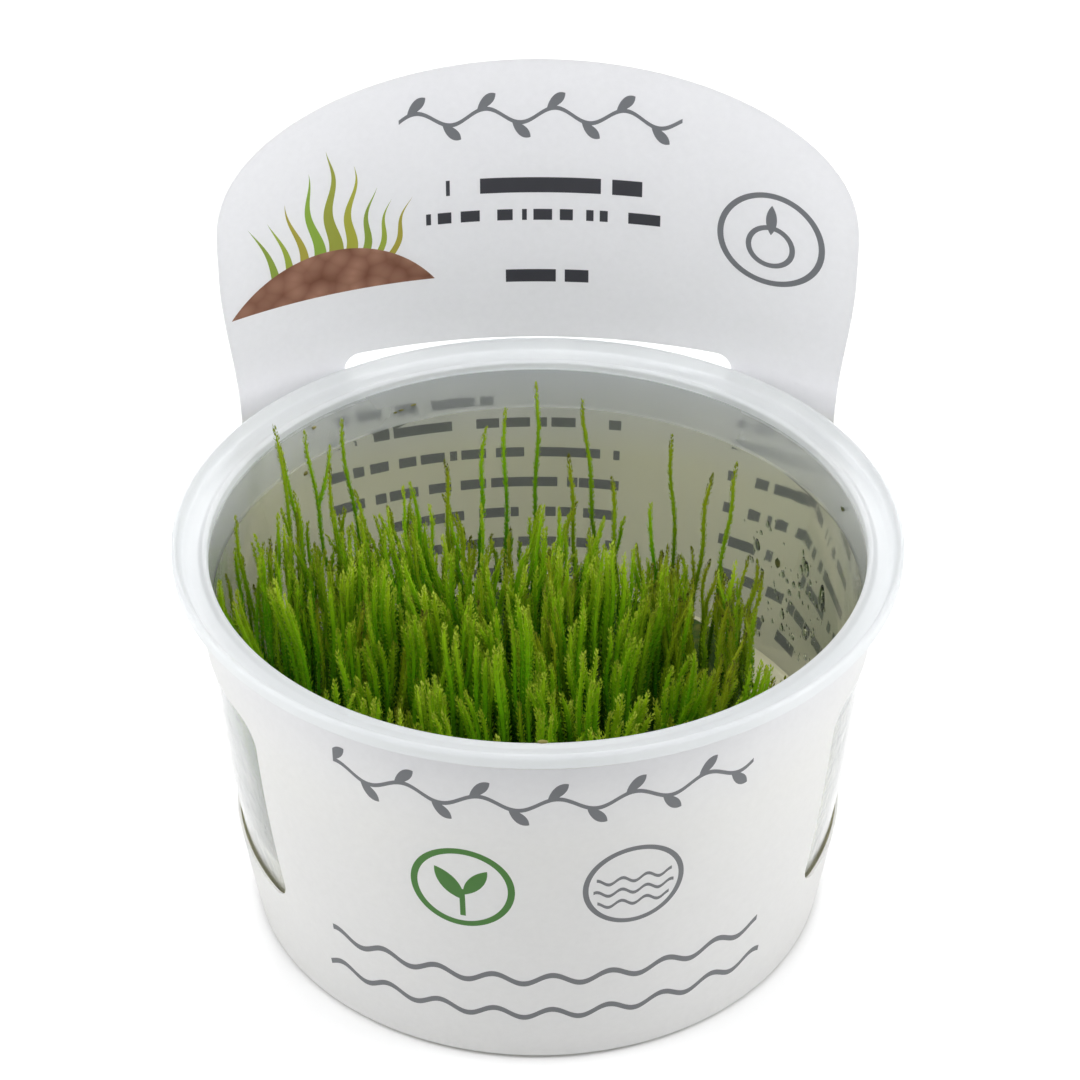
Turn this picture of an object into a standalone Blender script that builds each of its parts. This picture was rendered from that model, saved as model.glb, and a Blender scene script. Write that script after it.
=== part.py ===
"""Java moss growing on gel in an open plastic cup, with a card sleeve round the cup.

The cup stands on the plane z = 0 with its axis on the Z axis. The front of the sleeve faces -Y and its tall
back panel stands at +Y. Every length is in metres.
"""
import math
import random

import bmesh
import bpy
from mathutils import Vector
from mathutils.geometry import delaunay_2d_cdt

MM = 0.001
GAP = 0.3 * MM

# Cup: outer wall, flange with a raised lip, inner bead, collar and ledge
WALL_BASE_RADIUS = 42.4 * MM
WALL_TOP_RADIUS = 48.0 * MM
WALL_TOP = 58.0 * MM
WALL_CURVE = 1.8
WALL_ROWS = [10 * MM, 20 * MM, 30 * MM, 40 * MM, 50 * MM, WALL_TOP]
WALL_THICKNESS = 0.9 * MM
BASE_EDGE = 1.5 * MM
BASE_THICKNESS = 1.3 * MM
FLANGE_UNDERSIDE = 60.3 * MM
FLANGE_TOP = 61.4 * MM
BEAD_INNER_RADIUS = 47.3 * MM
LIP_RADIUS = 52.5 * MM
LIP_TOP = 63.4 * MM
LEDGE_TOP = 54.2 * MM
LEDGE_BOTTOM = 53.3 * MM
CUP_SEGMENTS = 48

# Gel in the bottom of the cup
GEL_TOP = 20.0 * MM
MENISCUS = 0.8 * MM

# Card sleeve
CARD = 0.4 * MM
SLEEVE_BOTTOM = 0.8 * MM
BAND_TOP = WALL_TOP
PANEL_RADIUS = 80.0 * MM
PANEL_CREST = 50.5 * MM
BAND_CREST = 49.6 * MM
PANEL_UPRIGHT_FROM = 68.0 * MM
PANEL_HALF_AT_BAND = 45.6 * MM
PANEL_HALF = 47.6 * MM
PANEL_FULL_WIDTH_FROM = 84.0 * MM
PANEL_SHOULDER = 88.0 * MM
PANEL_TOP = 112.4 * MM
ARCH_POWER = 2.85
BULGE_FROM = 8.0 * MM
SLOT_LENGTH = 60.0 * MM
SLOT_BOTTOM = 60.0 * MM
SLOT_TOP = 64.7 * MM
WINDOW_BOTTOM = 16.0 * MM
WINDOW_TOP = 48.5 * MM
WINDOW_BACK = 0.0 * MM
WINDOW_FRONT_LEFT = -28.2 * MM
WINDOW_FRONT_RIGHT = -24.8 * MM
WINDOW_CORNER = 4.0 * MM
FRONT_COLUMNS = 28
SIDE_COLUMNS = 4
PANEL_COLUMNS = 24
PANEL_ROWS = 6

# Moss
MAT_BOTTOM = GEL_TOP + GAP
MAT_RADIUS = 43.0 * MM
MAT_RIGHT_EDGE = 33.0 * MM
ROOT_HEIGHT = 27.0 * MM
MASS_TOP = 54.0 * MM
MASS_BACK_SLOPE = 0.55
MASS_FRONT = -5.0 * MM
MASS_FRONT_SLOPE = 0.3
MASS_RIGHT = 8.0 * MM
MASS_RIGHT_SLOPE = 0.3
TUFT_DEPTH = 9.0 * MM
TUFT_SPACING = 2.7 * MM
TUFT_HEIGHT_SPREAD = 1.5 * MM
TUFT_TIERS = (1.0, 0.62, 0.3)
TUFT_SHARES = (1.0, 0.7, 0.45, 0.25)
STEM_RADIUS = 1.0 * MM
STEM_SIDES = 5
STEM_RINGS = ((0.0, 0.95), (0.3, 1.1), (0.6, 1.0), (0.88, 0.6))
FILLER_STEMS = 23
SEED = 11

# The stems that stand out, placed by eye: root x and y, tip x, y and z, all in millimetres
TALL_STEMS = (
    (-40, 2, -44, 4, 62),
    (-36, 9, -39, 22, 66),
    (-33, 13, -38, 22, 61),
    (-30, 17, -35, 27, 62),
    (-34, 6, -36, 16, 58),
    (-28, 12, -31, 20, 60),
    (-25, 23, -30, 30, 62),
    (-23, 13, -27, 18, 57),
    (-17, 14, -19, 19, 58),
    (-13, 19, -14, 23, 59),
    (-9, 23, -8, 29, 61),
    (-5, 25, -5, 33, 62),
    (0, 30, 0, 40, 62),
    (7, 22, 5, 26, 58),
    (10, 29, 7, 37, 61),
    (13, 18, 11, 22, 57),
    (17, 11, 15, 13, 51),
    (19, 17, 17, 19, 54),
    (21, 24, 20, 29, 60),
    (23, 19, 26, 24, 56),
    (26, 15, 30, 21, 60),
    (28, 6, 29, 9, 50),
    (-2, 4, -2, 3, 54),
    (6, 6, 8, 3, 54),
)


def smooth_step(value, low, high):
    """0 below low, 1 above high, and an even S between them."""
    t = min(1.0, max(0.0, (value - low) / (high - low)))
    return t * t * (3 - 2 * t)


def wall_radius(z):
    """Outer radius of the cup's wall at height z."""
    below_top = max(0.0, 1 - z / WALL_TOP)
    return WALL_TOP_RADIUS - (WALL_TOP_RADIUS - WALL_BASE_RADIUS) * below_top ** WALL_CURVE


def inner_radius(z):
    """Inner radius of the cup's wall at height z, below the ledge."""
    return wall_radius(z) - WALL_THICKNESS


def material(name, color, roughness, alpha=1.0):
    """A plain Principled material."""
    made = bpy.data.materials.new(name)
    made.use_nodes = True
    shader = made.node_tree.nodes["Principled BSDF"]
    shader.inputs["Base Color"].default_value = (*color, 1)
    shader.inputs["Roughness"].default_value = roughness
    shader.inputs["Metallic"].default_value = 0.0
    shader.inputs["Alpha"].default_value = alpha
    made.diffuse_color = (*color, alpha)
    return made


def add_object(name, mesh, finish, sharp_angle=35):
    """Link a mesh as a named object, shaded smooth except at its sharp edges."""
    obj = bpy.data.objects.new(name, mesh)
    bpy.context.scene.collection.objects.link(obj)
    if finish:
        mesh.materials.append(finish)
    mesh.shade_smooth()
    mesh.set_sharp_from_angle(angle=math.radians(sharp_angle))
    return obj


def mesh_from(name, points, faces):
    """A mesh from points and faces, with its faces turned outwards."""
    mesh = bpy.data.meshes.new(name)
    mesh.from_pydata(points, [], faces)
    work = bmesh.new()
    work.from_mesh(mesh)
    bmesh.ops.recalc_face_normals(work, faces=work.faces)
    work.to_mesh(mesh)
    work.free()
    return mesh


def turned(name, profile, segments, finish):
    """Turn an open (radius, z) profile, whose two ends lie on the axis, into a closed body."""
    rings = profile[1:-1]
    points = [(0, 0, profile[0][1]), (0, 0, profile[-1][1])]
    for radius, z in rings:
        for step in range(segments):
            angle = 2 * math.pi * step / segments
            points.append((radius * math.cos(angle), radius * math.sin(angle), z))
    faces = []
    last = 2 + (len(rings) - 1) * segments
    for step in range(segments):
        following = (step + 1) % segments
        faces.append((0, 2 + step, 2 + following))
        faces.append((1, last + following, last + step))
        for ring in range(len(rings) - 1):
            low = 2 + ring * segments
            high = low + segments
            faces.append((low + step, high + step, high + following, low + following))
    return add_object(name, mesh_from(name, points, faces), finish)


def flange_profile():
    """The cup's rim from its underside, over the raised lip and the inner bead, down to the ledge."""
    return [
        (WALL_TOP_RADIUS, FLANGE_UNDERSIDE - 0.5 * MM),
        (WALL_TOP_RADIUS + 0.5 * MM, FLANGE_UNDERSIDE),
        (LIP_RADIUS - 0.9 * MM, FLANGE_UNDERSIDE + 0.2 * MM),
        (LIP_RADIUS - 0.1 * MM, FLANGE_UNDERSIDE + 0.8 * MM),
        (LIP_RADIUS, LIP_TOP - 0.5 * MM),
        (LIP_RADIUS - 0.4 * MM, LIP_TOP),
        (LIP_RADIUS - 0.9 * MM, LIP_TOP - 0.3 * MM),
        (LIP_RADIUS - 1.5 * MM, FLANGE_TOP + 0.3 * MM),
        (LIP_RADIUS - 2.3 * MM, FLANGE_TOP),
        (BEAD_INNER_RADIUS + 1.4 * MM, FLANGE_TOP),
        (BEAD_INNER_RADIUS + 0.7 * MM, FLANGE_TOP + 0.4 * MM),
        (BEAD_INNER_RADIUS + 0.1 * MM, FLANGE_TOP + 0.1 * MM),
        (BEAD_INNER_RADIUS, FLANGE_TOP - 0.8 * MM),
        (BEAD_INNER_RADIUS - 0.1 * MM, LEDGE_TOP),
        (inner_radius(LEDGE_BOTTOM) + 0.1 * MM, LEDGE_BOTTOM + 0.4 * MM),
        (inner_radius(LEDGE_BOTTOM), LEDGE_BOTTOM),
    ]


def make_cup(finish):
    """The whole cup: base, tapering wall, ledge, collar and flange."""
    profile = [(0, 0)]
    profile.append((WALL_BASE_RADIUS - BASE_EDGE, 0))
    profile.append((wall_radius(0) - 0.4 * BASE_EDGE, 0.3 * BASE_EDGE))
    profile.append((wall_radius(BASE_EDGE), BASE_EDGE))
    for z in WALL_ROWS:
        profile.append((wall_radius(z), z))
    profile += flange_profile()
    for z in (40 * MM, 20 * MM, 2 * BASE_EDGE):
        profile.append((inner_radius(z), z))
    profile.append((inner_radius(0) - BASE_EDGE, BASE_THICKNESS))
    profile.append((0, BASE_THICKNESS))
    return turned("cup", profile, CUP_SEGMENTS, finish)


def make_gel(finish):
    """The gel: it fills the cup's bottom and creeps a little up the wall."""
    bottom = BASE_THICKNESS + GAP
    profile = [(0, bottom), (inner_radius(0) - BASE_EDGE - GAP, bottom)]
    for z in (2 * BASE_EDGE, 10 * MM, GEL_TOP):
        profile.append((inner_radius(z) - GAP, z))
    profile.append((inner_radius(GEL_TOP) - GAP, GEL_TOP + MENISCUS))
    profile.append((inner_radius(GEL_TOP) - 0.5 * MM - GAP, GEL_TOP + 0.3 * MENISCUS))
    profile.append((inner_radius(GEL_TOP) - 1.6 * MM, GEL_TOP))
    profile.append((0, GEL_TOP))
    return turned("gel", profile, CUP_SEGMENTS, finish)


def crest(z):
    """How far back the middle of the sleeve's back panel stands at height z."""
    rise = smooth_step(z, BAND_TOP, PANEL_UPRIGHT_FROM)
    return BAND_CREST + (PANEL_CREST - BAND_CREST) * rise


def panel_half_width(z):
    """Half the width of the back panel, which opens a little towards its shoulders."""
    rise = smooth_step(z, BAND_TOP, PANEL_FULL_WIDTH_FROM)
    return PANEL_HALF_AT_BAND + (PANEL_HALF - PANEL_HALF_AT_BAND) * rise


def panel_point(across, z):
    """A point of the back panel: across runs from -1 at its left edge to 1 at its right edge."""
    x = across * panel_half_width(z)
    y = crest(z) - PANEL_RADIUS + math.sqrt(PANEL_RADIUS ** 2 - x ** 2)
    return Vector((x, y, z))


def panel_top(across):
    """Height of the arched top edge."""
    return PANEL_SHOULDER + (PANEL_TOP - PANEL_SHOULDER) * (1 - across ** 2) ** (1 / ARCH_POWER)


def band_middle(z):
    """Radius of the middle of the card where it lies against the cup."""
    return wall_radius(z) + GAP + CARD / 2


def sleeve_columns():
    """Directions, from the front and round to the right, in which the sleeve's columns stand.

    Each column is its angle from the front, its radius at the top of the band, and its place across the back
    panel, or None in front of the panel. The card lies on the cup in front, leaves it on a tangent at each
    side, and folds there into the flatter back panel.
    """
    lying = band_middle(BAND_TOP)
    edge = panel_point(1, BAND_TOP)
    edge_distance = math.hypot(edge.x, edge.y)
    edge_angle = math.atan2(edge.x, -edge.y)
    leave_angle = edge_angle - math.acos(lying / edge_distance)
    right = []
    for step in range(1, SIDE_COLUMNS):
        angle = leave_angle + (edge_angle - leave_angle) * step / SIDE_COLUMNS
        right.append((angle, lying / math.cos(angle - leave_angle), None))
    panel = []
    for step in range(PANEL_COLUMNS + 1):
        across = math.cos(math.pi * step / PANEL_COLUMNS)
        point = panel_point(across, BAND_TOP)
        angle = math.atan2(point.x, -point.y) % (2 * math.pi)
        panel.append((angle, math.hypot(point.x, point.y), across))
    left = [(2 * math.pi - angle, radius, None) for angle, radius, _ in reversed(right)]
    front = []
    for step in range(FRONT_COLUMNS + 1):
        front.append((leave_angle * (2 * step / FRONT_COLUMNS - 1), lying, None))
    return front + right + panel + left


def sleeve_sheet():
    """The card as a sheet without thickness: a closed band, and the panel that rises from its back."""
    columns = sleeve_columns()
    rows = [SLEEVE_BOTTOM] + WALL_ROWS
    count = len(columns)
    lying = band_middle(BAND_TOP)
    points = []
    faces = []
    for z in rows:
        bulge = smooth_step(z, BULGE_FROM, BAND_TOP)
        for angle, radius, _ in columns:
            at_height = band_middle(z) + bulge * (radius - lying)
            points.append((at_height * math.sin(angle), -at_height * math.cos(angle), z))
    for row in range(len(rows) - 1):
        for column in range(count):
            low = row * count + column
            low_next = row * count + (column + 1) % count
            faces.append((low, low_next, low_next + count, low + count))
    panel = [index for index, column in enumerate(columns) if column[2] is not None]
    below = [(len(rows) - 1) * count + index for index in panel]
    for row in range(1, PANEL_ROWS + 1):
        above = []
        for index in panel:
            across = columns[index][2]
            z = BAND_TOP + (panel_top(across) - BAND_TOP) * row / PANEL_ROWS
            above.append(len(points))
            points.append(panel_point(across, z))
        for place in range(len(panel) - 1):
            faces.append((below[place], below[place + 1], above[place + 1], above[place]))
        below = above
    return mesh_from("sleeve", points, faces)


def rounded_outline(low, high, corner, steps=5):
    """The corner-rounded rectangle between two (u, v) corners, as a list of points."""
    centres = (
        (high[0] - corner, high[1] - corner),
        (low[0] + corner, high[1] - corner),
        (low[0] + corner, low[1] + corner),
        (high[0] - corner, low[1] + corner),
    )
    outline = []
    for quarter, (u, v) in enumerate(centres):
        for step in range(steps + 1):
            angle = math.pi / 2 * (quarter + step / steps)
            outline.append((u + corner * math.cos(angle), v + corner * math.sin(angle)))
    return outline


def cutter(name, outline, place):
    """A prism through an outline; place turns (u, v, end) into a point, with end 0 or 1."""
    count = len(outline)
    points = [place(u, v, end) for end in (0, 1) for u, v in outline]
    faces = [tuple(range(count)), tuple(range(2 * count - 1, count - 1, -1))]
    for step in range(count):
        following = (step + 1) % count
        faces.append((step, following, count + following, count + step))
    obj = add_object(name, mesh_from(name, points, faces), None)
    obj.hide_render = True
    obj.display_type = "WIRE"
    return obj


def cut(obj, tool):
    """Cut a hidden prism out of an object."""
    step = obj.modifiers.new(tool.name, "BOOLEAN")
    step.operation = "DIFFERENCE"
    step.object = tool


def make_sleeve(finish):
    """The card sleeve with its two side windows and the slot that the cup's rim pokes through."""
    sleeve = add_object("sleeve", sleeve_sheet(), finish)
    thick = sleeve.modifiers.new("card thickness", "SOLIDIFY")
    thick.thickness = CARD
    thick.offset = 0.0
    near, far = 25 * MM, 75 * MM
    for side, name, front in ((-1, "left", WINDOW_FRONT_LEFT), (1, "right", WINDOW_FRONT_RIGHT)):
        outline = rounded_outline((front, WINDOW_BOTTOM), (WINDOW_BACK, WINDOW_TOP), WINDOW_CORNER)
        window = cutter(
            "cutter_window_" + name, outline,
            lambda u, v, end, side=side: (side * (near + (far - near) * end), u, v))
        cut(sleeve, window)
    outline = rounded_outline(
        (-SLOT_LENGTH / 2, SLOT_BOTTOM), (SLOT_LENGTH / 2, SLOT_TOP), (SLOT_TOP - SLOT_BOTTOM) / 2 - 0.01 * MM)
    slot = cutter("cutter_slot", outline, lambda u, v, end: (u, (38 + 22 * end) * MM, v))
    cut(sleeve, slot)
    return sleeve


def stem_path(foot, tip, sway):
    """A function that gives the middle of a stem at t, from 0 at its foot to 1 at its tip."""
    def at(t):
        bend = math.sin(math.pi * t)
        return foot.lerp(tip, t) + sway * bend
    return at


def stem_clear(path, others):
    """Whether a stem keeps clear of the wall and of the stems that are already there."""
    samples = [path(t / 12) for t in range(13)]
    for point in samples:
        wall = inner_radius(min(point.z, LEDGE_BOTTOM))
        if math.hypot(point.x, point.y) > wall - 1.3 * STEM_RADIUS - GAP:
            return False
        for other in others:
            for t in range(13):
                if (other(t / 12) - point).length < 2.3 * STEM_RADIUS + GAP:
                    return False
    return True


def on_mat(x, y, margin):
    """Whether a place lies on the mat, at least margin inside its edge."""
    return math.hypot(x, y) < MAT_RADIUS - margin and x < MAT_RIGHT_EDGE - margin


def mass_height(x, y):
    """Height that the thick of the moss reaches: it falls away towards the back, the front and the right."""
    back = MASS_BACK_SLOPE * max(0.0, y)
    front = MASS_FRONT_SLOPE * max(0.0, MASS_FRONT - y)
    right = MASS_RIGHT_SLOPE * max(0.0, x - MASS_RIGHT)
    return MASS_TOP - back - front - right


def hollow_height(x, y):
    """Height of the hollows between the tufts, on which the single stems stand."""
    return mass_height(x, y) - TUFT_DEPTH


def foot_level(x, y):
    """Height just above the hollows all round a stem that stands at x, y."""
    beside = 1.1 * STEM_RADIUS
    return max(hollow_height(x - beside, y + step) for step in (-beside, beside)) + GAP


def stem_foot(root, tip):
    """Where the line from a stem's root to its tip comes out of the thick of the moss."""
    foot = root
    for _ in range(8):
        foot = root.lerp(tip, (foot_level(foot.x, foot.y) - root.z) / (tip.z - root.z))
    return foot


def all_stem_paths(rng):
    """The stems placed by eye, then as many more as fit between them."""
    paths = []
    for root_x, root_y, tip_x, tip_y, tip_z in TALL_STEMS:
        tip = Vector((tip_x * MM, tip_y * MM, tip_z * MM))
        foot = stem_foot(Vector((root_x * MM, root_y * MM, ROOT_HEIGHT)), tip)
        sway = Vector((rng.uniform(-0.5, 0.5) * MM, rng.uniform(-0.5, 0.5) * MM, 0))
        paths.append(stem_path(foot, tip, sway))
    while len(paths) < len(TALL_STEMS) + FILLER_STEMS:
        x = rng.uniform(-MAT_RADIUS, MAT_RIGHT_EDGE)
        y = rng.uniform(-MAT_RADIUS, 0.75 * MAT_RADIUS)
        if not on_mat(x, y, 2.5 * MM):
            continue
        foot = Vector((x, y, foot_level(x, y)))
        lean = Vector((rng.uniform(-2, 2) * MM, rng.uniform(-1, 3) * MM, 0))
        tip = Vector((x, y, mass_height(x, y) + rng.uniform(1, 5) * MM)) + lean
        sway = Vector((rng.uniform(-0.8, 0.8) * MM, rng.uniform(-0.8, 0.8) * MM, 0))
        path = stem_path(foot, tip, sway)
        if stem_clear(path, paths):
            paths.append(path)
    return paths


def make_stem(name, path, finish):
    """One stem: a thin tapering tube on a slightly bent line, closed at its foot and pointed at its tip."""
    points = []
    faces = []
    for t, width in STEM_RINGS:
        centre = path(t)
        for side in range(STEM_SIDES):
            angle = 2 * math.pi * side / STEM_SIDES
            offset = Vector((math.cos(angle), math.sin(angle), 0)) * width * STEM_RADIUS
            points.append(centre + offset)
    points.append(path(1.0))
    tip = len(points) - 1
    last = tip - STEM_SIDES
    faces.append(tuple(range(STEM_SIDES)))
    for side in range(STEM_SIDES):
        following = (side + 1) % STEM_SIDES
        faces.append((last + side, last + following, tip))
        for ring in range(len(STEM_RINGS) - 1):
            low = ring * STEM_SIDES
            high = low + STEM_SIDES
            faces.append((low + side, low + following, high + following, high + side))
    return add_object(name, mesh_from(name, points, faces), finish, sharp_angle=80)


def mat_outline(count=60):
    """The mat's edge: the cup's round, cut straight at the right where the gel is bare."""
    edge = []
    for step in range(count):
        angle = 2 * math.pi * step / count
        x = MAT_RADIUS * math.cos(angle)
        y = MAT_RADIUS * math.sin(angle)
        edge.append(Vector((min(x, MAT_RIGHT_EDGE), y)))
    return edge


def tuft_clear(x, y, top, stems):
    """Whether a pointed tuft at x, y keeps clear of every stem beside it."""
    steps = 8
    bottom = hollow_height(x, y)
    for step in range(steps + 1):
        z = bottom + (top - bottom) * step / steps
        half = TUFT_SPACING * (1 - step / steps)
        for path, foot, tip in stems:
            if z > tip.z:
                continue
            at = path((z - foot.z) / (tip.z - foot.z) if z > foot.z else 0.0)
            if math.hypot(at.x - x, at.y - y) < half + 1.2 * STEM_RADIUS + GAP:
                return False
    return True


def make_mat(paths, rng, finish):
    """The thick of the moss as one body: it stands on the gel, and its top is a crowd of pointed tufts."""
    stems = [(path, path(0.0), path(1.0)) for path in paths]
    edge = mat_outline()
    flat = list(edge)
    heights = [hollow_height(point.x, point.y) for point in edge]
    row_height = TUFT_SPACING * math.sqrt(3) / 2
    reach = int(MAT_RADIUS / row_height) + 1
    for row in range(-reach, reach + 1):
        y = row * row_height
        for column in range(-reach, reach + 1):
            x = (column + 0.5 * (row % 2) + rng.uniform(-0.12, 0.12)) * TUFT_SPACING
            if not on_mat(x, y, 0.6 * TUFT_SPACING):
                continue
            bottom = hollow_height(x, y)
            tier = TUFT_TIERS[(column + (row % 2) - row) % 3]
            top = bottom + TUFT_DEPTH * tier + rng.uniform(-1, 1) * TUFT_HEIGHT_SPREAD
            flat.append(Vector((x, y)))
            heights.append(bottom)
            for share in TUFT_SHARES:
                height = bottom + (top - bottom) * share
                if tuft_clear(x, y, height, stems):
                    heights[-1] = height
                    break
    count = len(edge)
    ring = [(step, (step + 1) % count) for step in range(count)]
    placed, _, triangles, _, _, _ = delaunay_2d_cdt(flat, ring, [], 1, 1e-7)
    points = [(point.x, point.y, height) for point, height in zip(placed, heights)]
    points += [(point.x, point.y, MAT_BOTTOM) for point in edge]
    low = len(placed)
    faces = [tuple(triangle) for triangle in triangles]
    for step, following in ring:
        faces.append((following, step, low + step, low + following))
    faces.append(tuple(range(low + count - 1, low - 1, -1)))
    return add_object("moss_mat", mesh_from("moss_mat", points, faces), finish, sharp_angle=80)


def build():
    """Clear the scene and build every piece."""
    for obj in list(bpy.data.objects):
        bpy.data.objects.remove(obj)
    cup_plastic = material("cup plastic", (0.86, 0.87, 0.85), 0.3, 0.6)
    card = material("card", (0.85, 0.85, 0.86), 0.55)
    gel = material("gel", (0.62, 0.58, 0.42), 0.15)
    deep_moss = material("deep moss", (0.05, 0.13, 0.01), 0.7)
    moss = material("moss", (0.16, 0.27, 0.03), 0.65)
    make_cup(cup_plastic)
    make_sleeve(card)
    make_gel(gel)
    rng = random.Random(SEED)
    paths = all_stem_paths(rng)
    make_mat(paths, rng, deep_moss)
    for number, path in enumerate(paths, start=1):
        make_stem(f"moss_stem_{number:02d}", path, moss)


build()
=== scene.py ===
"""Looks of the java moss on its gel in an open plastic cup with a card sleeve.

Everything is in metres, in the frame of the CAD model: the cup stands on z = 0 round the Z axis, the front of
the sleeve faces -Y, and its tall back panel stands at +Y.
"""
import math

import bmesh
import bpy
import numpy as np
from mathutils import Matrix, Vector


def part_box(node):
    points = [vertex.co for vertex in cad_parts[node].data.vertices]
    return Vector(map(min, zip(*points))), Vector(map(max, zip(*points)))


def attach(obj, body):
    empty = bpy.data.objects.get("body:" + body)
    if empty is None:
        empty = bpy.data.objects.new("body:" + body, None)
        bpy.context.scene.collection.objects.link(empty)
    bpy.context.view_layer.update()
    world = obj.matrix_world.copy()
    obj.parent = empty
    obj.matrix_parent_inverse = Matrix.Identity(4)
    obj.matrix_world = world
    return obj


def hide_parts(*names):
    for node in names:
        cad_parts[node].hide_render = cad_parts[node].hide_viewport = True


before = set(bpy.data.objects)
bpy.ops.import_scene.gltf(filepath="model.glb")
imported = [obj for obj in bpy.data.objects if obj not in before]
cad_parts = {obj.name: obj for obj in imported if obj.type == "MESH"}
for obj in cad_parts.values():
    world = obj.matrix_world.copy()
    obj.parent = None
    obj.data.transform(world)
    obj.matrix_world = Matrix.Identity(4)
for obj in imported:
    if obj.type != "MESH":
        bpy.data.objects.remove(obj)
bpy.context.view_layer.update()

MM = 0.001
GAP = 0.3 * MM
rng = np.random.default_rng(20)

# Camera, measured from the ellipses of the cup's rim and base, and the point that the lights face
CAMERA_PITCH = math.radians(34.96)
CAMERA_DISTANCE = 445 * MM
CAMERA_AIM = Vector((0.32 * MM, 0, 60.83 * MM))
CAMERA_LENS = 103.03
LIGHT_AIM = Vector((0, 0, 50 * MM))

# Cup, with its main sizes read from the frame
CUP_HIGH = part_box("cup")[1]
LIP_RADIUS = CUP_HIGH.x
LIP_TOP = CUP_HIGH.z
WALL_BASE_RADIUS = 42.4 * MM
WALL_TOP_RADIUS = 48.0 * MM
WALL_TOP = 58.0 * MM
WALL_CURVE = 1.8
WALL_THICKNESS = 0.9 * MM
BASE_EDGE = 1.5 * MM
BASE_THICKNESS = 1.3 * MM
FLANGE_UNDERSIDE = LIP_TOP - 3.1 * MM
FLANGE_TOP = LIP_TOP - 2.0 * MM
BEAD_INNER_RADIUS = LIP_RADIUS - 5.2 * MM
LEDGE_TOP = 54.2 * MM
LEDGE_BOTTOM = 53.3 * MM

# Gel
GEL_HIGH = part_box("gel")[1]
MENISCUS = 0.8 * MM
GEL_TOP = GEL_HIGH.z - MENISCUS

# Card sleeve
SLEEVE_LOW, SLEEVE_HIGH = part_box("sleeve")
CARD = 0.4 * MM
SLEEVE_BOTTOM = SLEEVE_LOW.z
PANEL_TOP = SLEEVE_HIGH.z
PANEL_RADIUS = 80.0 * MM
PANEL_CREST = 50.5 * MM
BAND_CREST = 49.6 * MM
PANEL_UPRIGHT_FROM = 68.0 * MM
PANEL_HALF_AT_BAND = 45.6 * MM
PANEL_HALF = 47.6 * MM
PANEL_FULL_WIDTH_FROM = 84.0 * MM
PANEL_SHOULDER = PANEL_TOP - 24.4 * MM
ARCH_POWER = 2.85
BULGE_FROM = 8.0 * MM
SLOT_LENGTH = 60.0 * MM
SLOT_BOTTOM = 60.0 * MM
SLOT_TOP = 64.7 * MM
WINDOW_BOTTOM = 16.0 * MM
WINDOW_TOP = 48.5 * MM
WINDOW_BACK = 0.0 * MM
WINDOW_FRONTS = {"left": (-1, -28.2 * MM), "right": (1, -24.8 * MM)}
WINDOW_CORNER = 4.0 * MM

# Moss
MAT_LOW, MAT_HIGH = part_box("moss_mat")
MAT_TOP = 27.0 * MM
MAT_RADIUS = -MAT_LOW.x
MAT_RIGHT_EDGE = MAT_HIGH.x
MASS_TOP = 54.0 * MM
MASS_BACK_SLOPE = 0.55
MASS_FRONT = -5.0 * MM
MASS_FRONT_SLOPE = 0.3
MASS_RIGHT = 8.0 * MM
MASS_RIGHT_SLOPE = 0.3
LOCK_SPACING = 3.3 * MM
LOCK_ROW_SPACING = 5.6 * MM
SINGLE_SHOOTS = 260
WALL_SHOOTS = 52
LIME_STEMS = ("moss_stem_22", "moss_stem_23", "moss_stem_24")
SHOOT_RINGS = 10
TUBE_SIDES = 5
BLUNT_TIP = 2.2 * MM
LEAF_LENGTHS_MM = (0.45, 0.8)
LEAF_HALF_SHARE = 0.27
LEAVES_PER_MM = 8.0
THIN_LEAVES_PER_MM = 7.5


def smooth_step(value, low, high):
    """0 below low, 1 above high, and an even S between them."""
    t = np.clip((value - low) / (high - low), 0, 1)
    return t * t * (3 - 2 * t)


def wall_radius(z):
    """Outer radius of the cup's wall at height z."""
    below_top = max(0.0, 1 - z / WALL_TOP)
    return WALL_TOP_RADIUS - (WALL_TOP_RADIUS - WALL_BASE_RADIUS) * below_top ** WALL_CURVE


def inner_radius(z):
    """Inner radius of the cup's wall at height z, below the ledge."""
    return wall_radius(z) - WALL_THICKNESS


def add_object(name, mesh, *finishes):
    """Link a mesh as a named object with its materials."""
    obj = bpy.data.objects.new(name, mesh)
    bpy.context.scene.collection.objects.link(obj)
    for finish in finishes:
        mesh.materials.append(finish)
    return obj


def finish_piece(obj, slot, *nodes):
    """Say what a piece rides on and hide the CAD nodes that it stands for; slot is not used."""
    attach(obj, "root")
    if nodes:
        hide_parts(*nodes)


# Materials


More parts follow.
